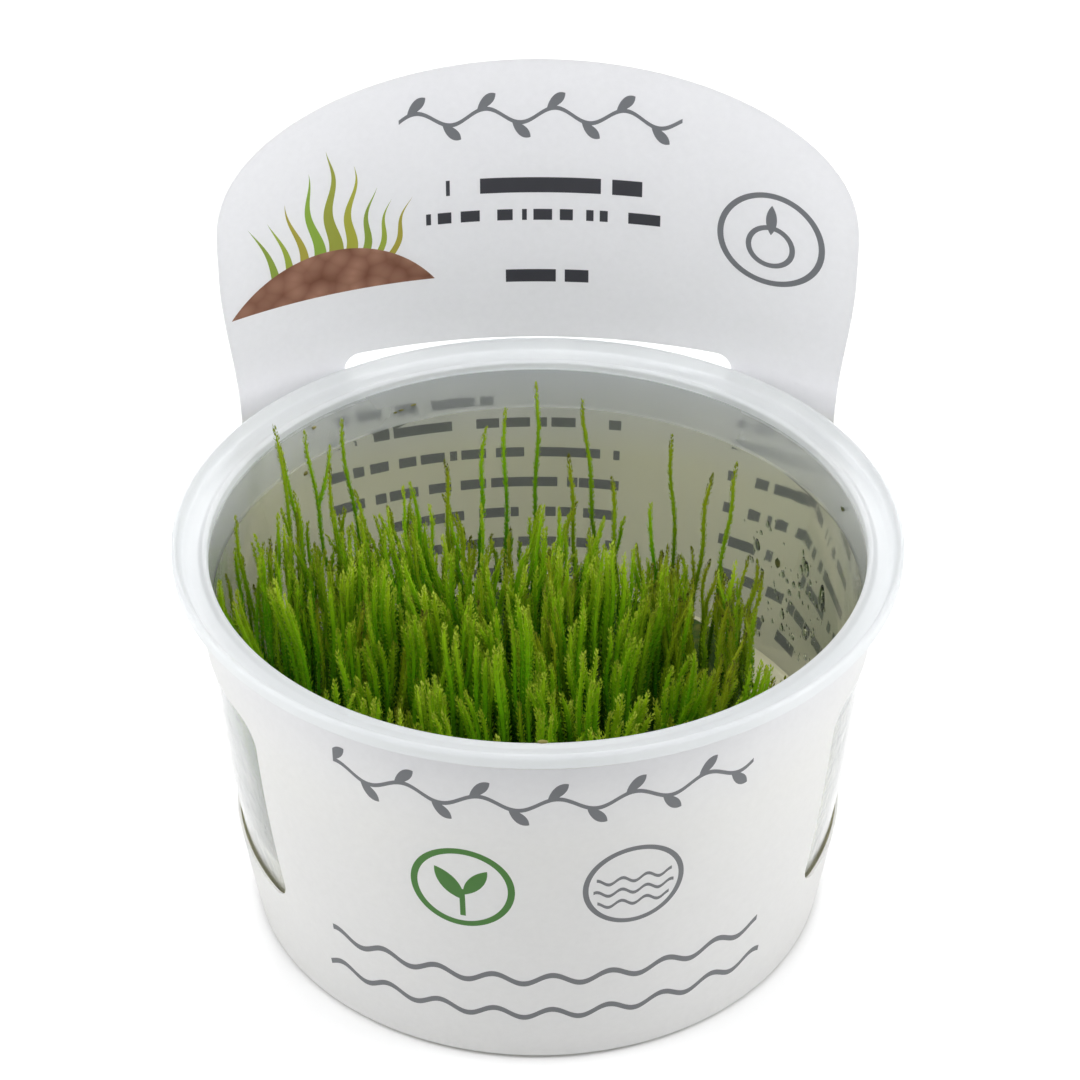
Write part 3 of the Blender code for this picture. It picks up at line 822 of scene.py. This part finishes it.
class Bundle:
    """Points with three plain values each, and triangles, gathered into one mesh."""

    def __init__(self):
        self.points, self.faces, self.age, self.tone, self.edge = [], [], [], [], []
        self.count = 0

    def add(self, points, faces, age, tone, edge):
        """Add a shape; faces count from its own first point."""
        self.points.append(points)
        self.faces.append(faces + self.count)
        self.age.append(age)
        self.tone.append(np.full(len(points), tone))
        self.edge.append(edge)
        self.count += len(points)

    def build(self, name, finish):
        """Turn what was gathered into an object."""
        mesh = bpy.data.meshes.new(name)
        points = np.concatenate(self.points).astype(np.float32)
        faces = np.concatenate(self.faces).astype(np.int32)
        mesh.vertices.add(len(points))
        mesh.vertices.foreach_set("co", points.ravel())
        mesh.loops.add(faces.size)
        mesh.loops.foreach_set("vertex_index", faces.ravel())
        mesh.polygons.add(len(faces))
        mesh.polygons.foreach_set("loop_start", np.arange(0, faces.size, 3, dtype=np.int32))
        mesh.update(calc_edges=True)
        for key in ("age", "tone", "edge"):
            values = np.concatenate(getattr(self, key)).astype(np.float32)
            mesh.attributes.new(key, "FLOAT", "POINT").data.foreach_set("value", values)
        mesh.shade_flat()
        return add_object(name, mesh, finish)


def mass_height(x, y):
    """Height that the thick of the moss reaches: it falls away towards the back, the front and the right."""
    back = MASS_BACK_SLOPE * max(0.0, y)
    front = MASS_FRONT_SLOPE * max(0.0, MASS_FRONT - y)
    right = MASS_RIGHT_SLOPE * max(0.0, x - MASS_RIGHT)
    return MASS_TOP - back - front - right


def on_mat(x, y, margin):
    """Whether a place lies on the mat, at least margin inside its edge."""
    return math.hypot(x, y) < MAT_RADIUS - margin and x < MAT_RIGHT_EDGE - margin


def keep_inside(path, margin):
    """Push a path's points in from the cup's wall."""
    kept = path.copy()
    for point in kept:
        limit = inner_radius(min(point[2], LEDGE_BOTTOM)) - margin
        distance = math.hypot(point[0], point[1])
        if distance > limit:
            point[:2] *= limit / distance
    return kept


def along(path, shares):
    """Points and unit directions on a path at shares of its length."""
    steps = np.linalg.norm(np.diff(path, axis=0), axis=1)
    reach = np.concatenate([[0], np.cumsum(steps)])
    wanted = np.clip(shares, 0, 1) * reach[-1]
    points = np.stack([np.interp(wanted, reach, path[:, axis]) for axis in range(3)], 1)
    ahead = np.stack([np.interp(wanted + 0.4 * MM, reach, path[:, axis]) for axis in range(3)], 1)
    behind = np.stack([np.interp(wanted - 0.4 * MM, reach, path[:, axis]) for axis in range(3)], 1)
    direction = ahead - behind
    direction /= np.linalg.norm(direction, axis=1, keepdims=True)
    return points, direction, reach[-1]


def side_axes(direction):
    """Two unit vectors square to each direction."""
    first = np.cross(direction, [0.2, 1.0, 0.1])
    first /= np.linalg.norm(first, axis=1, keepdims=True)
    return first, np.cross(direction, first)


def add_shoot(bundle, path, width, tone, leaves_per_mm=LEAVES_PER_MM, foot_age_and_shade=0.0):
    """One leafy shoot: a core of even width with small pointed leaves pressed against it all round.

    width is the radius over the leaves, and the last argument is the colour ramp's value at the shoot's foot:
    lower is darker, partly painted shade.
    """
    shares = np.linspace(0, 1, SHOOT_RINGS + 1) ** 0.8
    points, direction, length = along(path, shares)
    first, second = side_axes(direction)

    def width_at(share):
        blunt = np.clip((1 - share) * length / BLUNT_TIP, 0, 1) ** 0.5
        return width * (1 - 0.3 * share) * (0.12 + 0.88 * blunt)

    core = 0.55 * width_at(shares)
    angles = 2 * math.pi * np.arange(TUBE_SIDES) / TUBE_SIDES
    circle = first[:-1, None] * np.cos(angles)[:, None] + second[:-1, None] * np.sin(angles)[:, None]
    tube = (points[:-1, None] + circle * core[:-1, None, None]).reshape(-1, 3)
    tube = np.concatenate([tube, points[-1:]])
    faces = []
    for ring_number in range(SHOOT_RINGS - 1):
        low = ring_number * TUBE_SIDES
        for side in range(TUBE_SIDES):
            following = (side + 1) % TUBE_SIDES
            faces.append((low + side, low + following, low + TUBE_SIDES + side))
            faces.append((low + following, low + TUBE_SIDES + following, low + TUBE_SIDES + side))
    top = (SHOOT_RINGS - 1) * TUBE_SIDES
    for side in range(TUBE_SIDES):
        faces.append((top + side, top + (side + 1) % TUBE_SIDES, len(tube) - 1))
    for side in range(1, TUBE_SIDES - 1):
        faces.append((0, side + 1, side))
    # The ramp value rises from foot to tip; the dark foot is partly painted shade.
    age = foot_age_and_shade + (1 - foot_age_and_shade) * np.concatenate([np.repeat(shares[:-1], TUBE_SIDES), [1.0]])
    bundle.add(tube, np.array(faces), age * 0.9, tone, np.zeros(len(tube)))

    count = int(length * 0.92 / MM * leaves_per_mm)
    shares = 0.08 + 0.92 * (np.arange(count) + rng.uniform(0, 0.9, count)) / count
    points, direction, _ = along(path, shares)
    first, second = side_axes(direction)
    turn = 2.4 * np.arange(count) + rng.uniform(-0.5, 0.5, count)
    out = first * np.cos(turn)[:, None] + second * np.sin(turn)[:, None]
    side = np.cross(direction, out)
    reach = width_at(shares)
    leaf_length = rng.uniform(*LEAF_LENGTHS_MM, count) * MM
    spread = np.arcsin(np.clip(0.6 * reach / leaf_length, 0.1, 0.75)) + np.radians(rng.uniform(-5, 16, count))
    leaf_half = LEAF_HALF_SHARE * leaf_length
    leaf = direction * np.cos(spread)[:, None] + out * np.sin(spread)[:, None]
    above = out * np.cos(spread)[:, None] - direction * np.sin(spread)[:, None]
    base = points + out * (0.45 * reach)[:, None]
    tip = base + leaf * leaf_length[:, None]
    middle = base + leaf * (0.42 * leaf_length)[:, None] + above * (0.1 * leaf_length)[:, None]
    quads = np.stack([base, middle - side * leaf_half[:, None], tip, middle + side * leaf_half[:, None]], 1)
    pattern = np.array([(0, 2, 1), (0, 3, 2), (0, 1, 3), (1, 2, 3)])
    faces = (4 * np.arange(count)[:, None, None] + pattern).reshape(-1, 3)
    age = foot_age_and_shade + (1 - foot_age_and_shade) * shares
    age = np.repeat(age, 4) + np.tile([0.0, 0.02, 0.06, 0.02], count)
    # Painted highlight: each leaf is lighter towards its tip, by a random amount per leaf; it is carried as
    # the edge value.
    light = np.repeat(rng.random(count) ** 1.2, 4) * np.tile([0.1, 0.6, 1.0, 0.6], count)
    bundle.add(quads.reshape(-1, 3), faces, age, tone, light)


def cad_stem_path(node):
    """The line of a CAD stem, read from its rings, with its foot led down into the mat."""
    heights = {}
    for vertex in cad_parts[node].data.vertices:
        heights.setdefault(round(vertex.co.z, 5), set()).add(tuple(round(value, 6) for value in vertex.co))
    centres = [np.mean(sorted(heights[z]), axis=0) for z in sorted(heights)]
    ahead = centres[1] - centres[0]
    foot = centres[0] - ahead * (centres[0][2] - (MAT_TOP - 3.0 * MM)) / ahead[2]
    return np.array([foot] + centres)


def wavy(path, steps, reach):
    """A path with more points and a slight waver of its own."""
    shares = np.linspace(0, 1, steps)
    points, _, _ = along(path, shares)
    for axis in range(2):
        phase = rng.uniform(0, 2 * math.pi)
        waves_along = rng.uniform(1.2, 2.6)
        points[:, axis] += reach * np.sin(phase + 2 * math.pi * waves_along * shares) * shares
    return points


def lean_at(x, y):
    """How far a shoot leans sideways and back: neighbours lean alike."""
    lean_x = 2.8 * math.sin(x * 150 + 2.1 * math.sin(y * 130)) + 0.06 * x / MM + rng.normal(0, 1.3)
    lean_y = 2.4 * math.sin(y * 170 + 1.7 * math.sin(x * 150)) + 2.0 + rng.normal(0, 1.3)
    return np.array([lean_x, lean_y, 0]) * MM


def risen_path(x, y, lift, waver):
    """The middle line of a shoot that rises from a place on the mat and leans with its neighbours."""
    lean = lean_at(x, y)
    foot = np.array([x, y, MAT_TOP - 3.5 * MM])
    tip = np.array([x, y, mass_height(x, y) + lift]) + lean
    middle = (foot + tip) / 2 - 0.18 * lean + np.append(rng.normal(0, 0.6, 2) * MM, 0)
    return wavy(np.array([foot, middle, tip]), 14, waver)


def lock_paths():
    """The middle lines of the locks: bundles of shoots that stand in loose rows over the front of the mat.

    Fewer stand at the back and at both sides, so that the pale wall shows between them.
    """
    paths = []
    for row in range(-8, 4):
        for column in range(-14, 12):
            x = (column + 0.5 * (row % 2) + rng.uniform(-0.35, 0.35)) * LOCK_SPACING
            y = (row + rng.uniform(-0.45, 0.45)) * LOCK_ROW_SPACING
            lift = rng.normal(-0.5, 3.6) * MM
            missing = 0.7 * smooth_step(y, 4 * MM, 14 * MM)
            missing += smooth_step(y, -22 * MM, -8 * MM) * (
                0.35 * smooth_step(x, 12 * MM, 26 * MM) + 0.6 * smooth_step(-x, 24 * MM, 34 * MM))
            if on_mat(x, y, 1.2 * MM) and rng.random() > missing:
                paths.append(risen_path(x, y, lift, 0.35 * MM))
    return paths


def single_paths():
    """The thin shoots that stand singly over the back of the mat, so that the wall shows between them."""
    paths = []
    for _ in range(SINGLE_SHOOTS):
        x = rng.uniform(-MAT_RADIUS, MAT_RIGHT_EDGE)
        y = rng.triangular(-12, 2, 0.78 * MAT_RADIUS / MM) * MM
        behind = smooth_step(y, -2 * MM, 9 * MM)
        left = 1 - 0.7 * smooth_step(x, 2 * MM, 20 * MM)
        lift = (rng.uniform(-3, 4) + 10 * behind * left * rng.random() ** 1.2) * MM
        if on_mat(x, y, 1.0 * MM):
            paths.append(risen_path(x, y, lift, 0.45 * MM))
    return paths


def wall_paths():
    """Shoots that lean against the cup's wall, up to the gel that is bare at the right."""
    paths = []
    for _ in range(WALL_SHOOTS):
        angle = math.radians(rng.triangular(60, 215, 308))
        around = math.radians(rng.normal(0, 4))
        top = mass_height(MAT_RADIUS * math.cos(angle), MAT_RADIUS * math.sin(angle))
        top += rng.uniform(-8, 2) * MM
        foot_radius = MAT_RADIUS - 1.2 * MM
        tip_radius = inner_radius(top) - 0.8 * MM
        foot = np.array([foot_radius * math.cos(angle), foot_radius * math.sin(angle), MAT_TOP - 3.5 * MM])
        tip = np.array([tip_radius * math.cos(angle + around), tip_radius * math.sin(angle + around), top])
        middle = (foot + tip) / 2 * np.array([1.02, 1.02, 1])
        if on_mat(foot[0], foot[1], 1.0 * MM):
            paths.append(wavy(np.array([foot, middle, tip]), 12, 0.3 * MM))
    return paths


def tone_at(x, middle, spread):
    """A shoot's tone: 0 olive, 0.5 green, 1 lime; the right side is more olive, partly the moss's own colour
    and partly painted light, as the olive colours are lighter.
    """
    # Partly painted light: shoots on the right turn more olive, and so lighter, for the light that falls from
    # the right.
    olive = 0.35 * smooth_step(x, 10 * MM, 26 * MM)
    return float(np.clip(rng.normal(middle - olive, spread), 0, 1))


def add_lock(bundle, path):
    """A lock: a few shoots that rise side by side and end at different heights."""
    tone = tone_at(path[0][0], 0.56, 0.2)
    start = rng.uniform(0, 2 * math.pi)
    steps = np.linspace(0, 1, 12)
    for member in range(rng.integers(2, 6)):
        turn = start + 2.4 * member
        reach = 0.0 if member == 0 else rng.uniform(0.9, 1.7) * MM
        out = reach * np.array([math.cos(turn), math.sin(turn), 0])
        share = 1.0 if member == 0 else rng.uniform(0.7, 1.0) ** 0.6
        points, _, _ = along(path, steps * share)
        points = points + out * (0.4 + 0.8 * steps)[:, None]
        own = float(np.clip(tone + rng.normal(0, 0.1), 0, 1))
        add_shoot(bundle, keep_inside(points, 1.1 * MM), rng.uniform(0.6, 0.95) * MM, own)


def make_shoots(finish):
    """Every leafy shoot, joined by the sector of the cup that it stands in."""
    names = sorted(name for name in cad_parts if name.startswith("moss_stem_"))
    sectors = 6
    bundles = [Bundle() for _ in range(sectors)]
    stands_for = [[] for _ in range(sectors)]

    def sector_of(path):
        angle = math.atan2(path[0][1] + 4 * MM, path[0][0] + 5 * MM) + math.pi
        return min(sectors - 1, int(angle / (2 * math.pi) * sectors))

    for name in names:
        path = keep_inside(wavy(cad_stem_path(name), 20, 0.35 * MM), 0.9 * MM)
        number = sector_of(path)
        stands_for[number].append(name)
        lime = name in LIME_STEMS
        tone = 1.0 if lime else rng.uniform(0.0, 0.5)
        width = 0.75 if lime else rng.uniform(0.48, 0.62)
        add_shoot(bundles[number], path, width * MM, tone)
        if lime or rng.random() < 0.12:
            add_branch(bundles[number], path, rng.uniform(0.6, 0.8), tone)
    for path in lock_paths():
        add_lock(bundles[sector_of(path)], path)
    for path in single_paths() + wall_paths():
        path = keep_inside(path, 0.8 * MM)
        width = rng.uniform(0.4, 0.65) * MM
        tone = tone_at(path[0][0], 0.36, 0.2)
        add_shoot(bundles[sector_of(path)], path, width, tone, THIN_LEAVES_PER_MM)
    for number, bundle in enumerate(bundles):
        shoots = bundle.build(f"moss_shoots_{number + 1}", finish)
        finish_piece(shoots, "moss", *stands_for[number])


def add_branch(bundle, path, share, tone):
    """A short side shoot that leaves a shoot at some share of its length."""
    points, direction, length = along(path, np.array([share]))
    start, forward = points[0], direction[0]
    turn = rng.uniform(0, 2 * math.pi)
    out = np.array([math.cos(turn), math.sin(turn), 0.15])
    reach = rng.uniform(0.18, 0.3) * length
    steps = np.linspace(0, 1, 6)[:, None]
    bent = start + reach * (steps * forward * 0.86 + 0.5 * np.sin(steps * 1.4) * out)
    add_shoot(bundle, keep_inside(bent, 0.9 * MM), 0.5 * MM, tone, foot_age_and_shade=0.6)


def make_base(finish):
    """The tangle that the shoots rise from: a low, lumpy mound on the gel."""
    low_z = GEL_TOP + GAP
    rings, steps = 26, 120
    points = [(0, 0, low_z), (0, 0, MAT_TOP - 1.5 * MM)]
    faces = []

    def edge_point(angle, share):
        x = MAT_RADIUS * math.cos(angle)
        y = MAT_RADIUS * math.sin(angle)
        return min(x, MAT_RIGHT_EDGE) * share, y * share

    for ring_number in range(1, rings + 1):
        share = ring_number / rings
        for step in range(steps):
            x, y = edge_point(2 * math.pi * step / steps, share)
            lumps = math.sin(x * 1300) * math.sin(y * 1150) + 0.7 * math.sin(x * 2300 + y * 900)
            fall = 1 - share ** 14
            height = low_z + (MAT_TOP - 2.2 * MM - low_z + 0.8 * MM * lumps) * max(0.12, fall)
            points.append((x, y, height))
    first_low = len(points)
    for step in range(steps):
        x, y = edge_point(2 * math.pi * step / steps, 1.0)
        points.append((x, y, low_z))
    for step in range(steps):
        following = (step + 1) % steps
        faces.append((1, 2 + step, 2 + following))
        for ring_number in range(rings - 1):
            low = 2 + ring_number * steps
            high = low + steps
            faces.append((low + step, high + step, high + following, low + following))
        last = 2 + (rings - 1) * steps
        faces.append((last + step, first_low + step, first_low + following, last + following))
        faces.append((0, first_low + following, first_low + step))
    mesh = closed_mesh("moss_base", points, faces)
    mesh.shade_smooth()
    base = add_object("moss_base", mesh, finish)
    finish_piece(base, "deep_moss", "moss_mat")


# Drops and flecks


def wall_place(azimuth, z):
    """A point on the cup's inner wall, its outward direction and the direction round the wall."""
    angle = math.radians(azimuth)
    outward = Vector((math.sin(angle), -math.cos(angle), 0))
    around = Vector((math.cos(angle), math.sin(angle), 0))
    return outward * inner_radius(z) + Vector((0, 0, z)), outward, around


def make_drops():
    """Condensation on the inner wall at the right rear: drops of many sizes, some run together."""
    shapes = [
        (110.6, 38.6, 1.0, 2.6),
        (117.4, 40.5, 0.8, 1.5),
        (114.8, 29.9, 0.8, 1.3),
        (132.2, 38.2, 0.7, 1.2),
    ]
    for _ in range(110):
        azimuth = 108 + 30 * rng.beta(1.6, 2.2)
        z = (23 + 22 * rng.beta(1.6, 1.8)) * MM
        size = 0.16 + 0.42 * rng.random() ** 3
        shapes.append((azimuth, z / MM, size, size * rng.uniform(1.0, 1.9)))
    points = []
    faces = []
    steps, rows = 14, 5
    for azimuth, z, half, tall in shapes:
        place, outward, around = wall_place(azimuth, z * MM)
        start = len(points)
        depth = 0.5 * half * MM
        for row in range(rows):
            angle = math.pi / 2 * row / rows
            for step in range(steps):
                turn = 2 * math.pi * step / steps
                sag = 1.0 + 0.25 * math.sin(turn + math.pi)
                u = math.cos(turn) * math.cos(angle) * half * MM * sag
                v = math.sin(turn) * math.cos(angle) * tall * MM
                spot = place + around * u - outward * (0.05 * MM + depth * math.sin(angle))
                sunk = (u * u) / (2 * inner_radius(z * MM))
                points.append(spot - outward * sunk + Vector((0, 0, v)))
        points.append(place - outward * (0.05 * MM + depth))
        top = len(points) - 1
        faces.append(tuple(start + step for step in range(steps)))
        for step in range(steps):
            following = (step + 1) % steps
            for row in range(rows - 1):
                low = start + row * steps
                faces.append((low + step, low + steps + step, low + steps + following, low + following))
            last = start + (rows - 1) * steps
            faces.append((last + step, top, last + following))
    mesh = closed_mesh("condensation_drops", points, faces)
    mesh.shade_smooth()
    mesh.set_sharp_from_angle(angle=math.radians(50))
    drops = add_object("condensation_drops", mesh, water_material())
    finish_piece(drops, "gel")


# Places of the flecks on the wall and the rim, with their half length and half height, all in millimetres
FLECKS = (
    (-38.9, 26.5, 58.0, 0.5, 0.3),
    (-34.2, 32.3, 59.2, 0.45, 0.25),
    (-35.6, 29.6, 52.6, 0.5, 0.35),
    (-22.2, 41.4, 56.1, 0.35, 0.15),
    (-21.3, 41.8, 56.3, 0.4, 0.15),
    (-19.4, 42.7, 56.7, 0.5, 0.15),
    (45.1, 12.9, 57.4, 0.5, 0.35),
    (37.2, 26.6, 37.9, 0.6, 0.9),
    (0.7, -47.7, 61.9, 0.7, 0.3),
)


def make_flecks():
    """Scraps of moss and gel that stick to the inner wall and the rim."""
    work = bmesh.new()
    for x, y, z, half, wide in FLECKS:
        inward = -Vector((x, y, 0)).normalized()
        around = Vector((-inward.y, inward.x, 0))
        made = bmesh.ops.create_icosphere(work, subdivisions=2, radius=1.0)
        for vertex in made["verts"]:
            lump = 1 + 0.2 * math.sin(5 * vertex.co.x + 9 * z) * math.cos(4 * vertex.co.y + x)
            reach = around * vertex.co.x * half + inward * vertex.co.y * 0.2
            reach.z += vertex.co.z * wide
            vertex.co = (Vector((x, y, z)) + reach * lump) * MM
    mesh = bpy.data.meshes.new("flecks")
    work.to_mesh(mesh)
    work.free()
    mesh.shade_smooth()
    finish_piece(add_object("flecks", mesh, fleck_material()), "deep_moss")


# Light, floor and camera


def make_stage():
    """A plain pale floor."""
    half = 2.5
    mesh = bpy.data.meshes.new("floor")
    corners = [(-half, -half, 0), (half, -half, 0), (half, half, 0), (-half, half, 0)]
    mesh.from_pydata(corners, [], [(0, 1, 2, 3)])
    g = Graph("floor")
    g.set(Roughness=0.9, Base_Color=(0.93, 0.93, 0.93, 1), Specular_IOR_Level=0.0)
    floor = add_object("floor", mesh, g.material)
    floor.location.z = -0.05 * MM


def area_light(name, place, size, power):
    """A square soft light at a place, turned towards the cup."""
    light = bpy.data.lights.new(name, "AREA")
    light.shape = "SQUARE"
    light.size = size
    light.energy = power
    lamp = bpy.data.objects.new(name, light)
    bpy.context.scene.collection.objects.link(lamp)
    lamp.location = place
    lamp.rotation_euler = (LIGHT_AIM - Vector(place)).to_track_quat("-Z", "Y").to_euler()


def make_light():
    """Soft light from all round, with a large box above, behind, in front and at each side."""
    world = bpy.data.worlds.new("studio")
    world.use_nodes = True
    sky = world.node_tree.nodes["Background"]
    sky.inputs["Color"].default_value = (0.98, 0.99, 1.0, 1)
    sky.inputs["Strength"].default_value = 0.35
    bpy.context.scene.world = world
    area_light("light_above", (0, -0.3, 1.2), 0.9, 6.5)
    area_light("light_front", (0, -0.55, 0.65), 0.5, 1.1)
    area_light("light_back", (0, 0.75, 0.16), 0.6, 9.0)
    area_light("light_left", (-0.75, -0.03, 0.34), 0.6, 4.2)
    area_light("light_right", (0.75, -0.03, 0.34), 0.6, 4.4)


def make_camera():
    """The camera at the photograph's place."""
    data = bpy.data.cameras.new("camera")
    data.lens = CAMERA_LENS
    data.sensor_width = 36
    data.clip_start = 0.01
    camera = bpy.data.objects.new("camera", data)
    bpy.context.scene.collection.objects.link(camera)
    back = Vector((0, -math.cos(CAMERA_PITCH), math.sin(CAMERA_PITCH)))
    camera.location = CAMERA_AIM + back * CAMERA_DISTANCE
    camera.rotation_euler = (math.pi / 2 - CAMERA_PITCH, 0, 0)
    bpy.context.scene.camera = camera


def build():
    """Everything, the camera first."""
    make_camera()
    make_light()
    make_stage()
    bpy.context.scene.view_settings.view_transform = "Standard"
    make_cup()
    make_gel()
    make_sleeve()
    leaf = moss_material()
    make_base(mat_material())
    make_shoots(leaf)
    make_drops()
    make_flecks()


build()
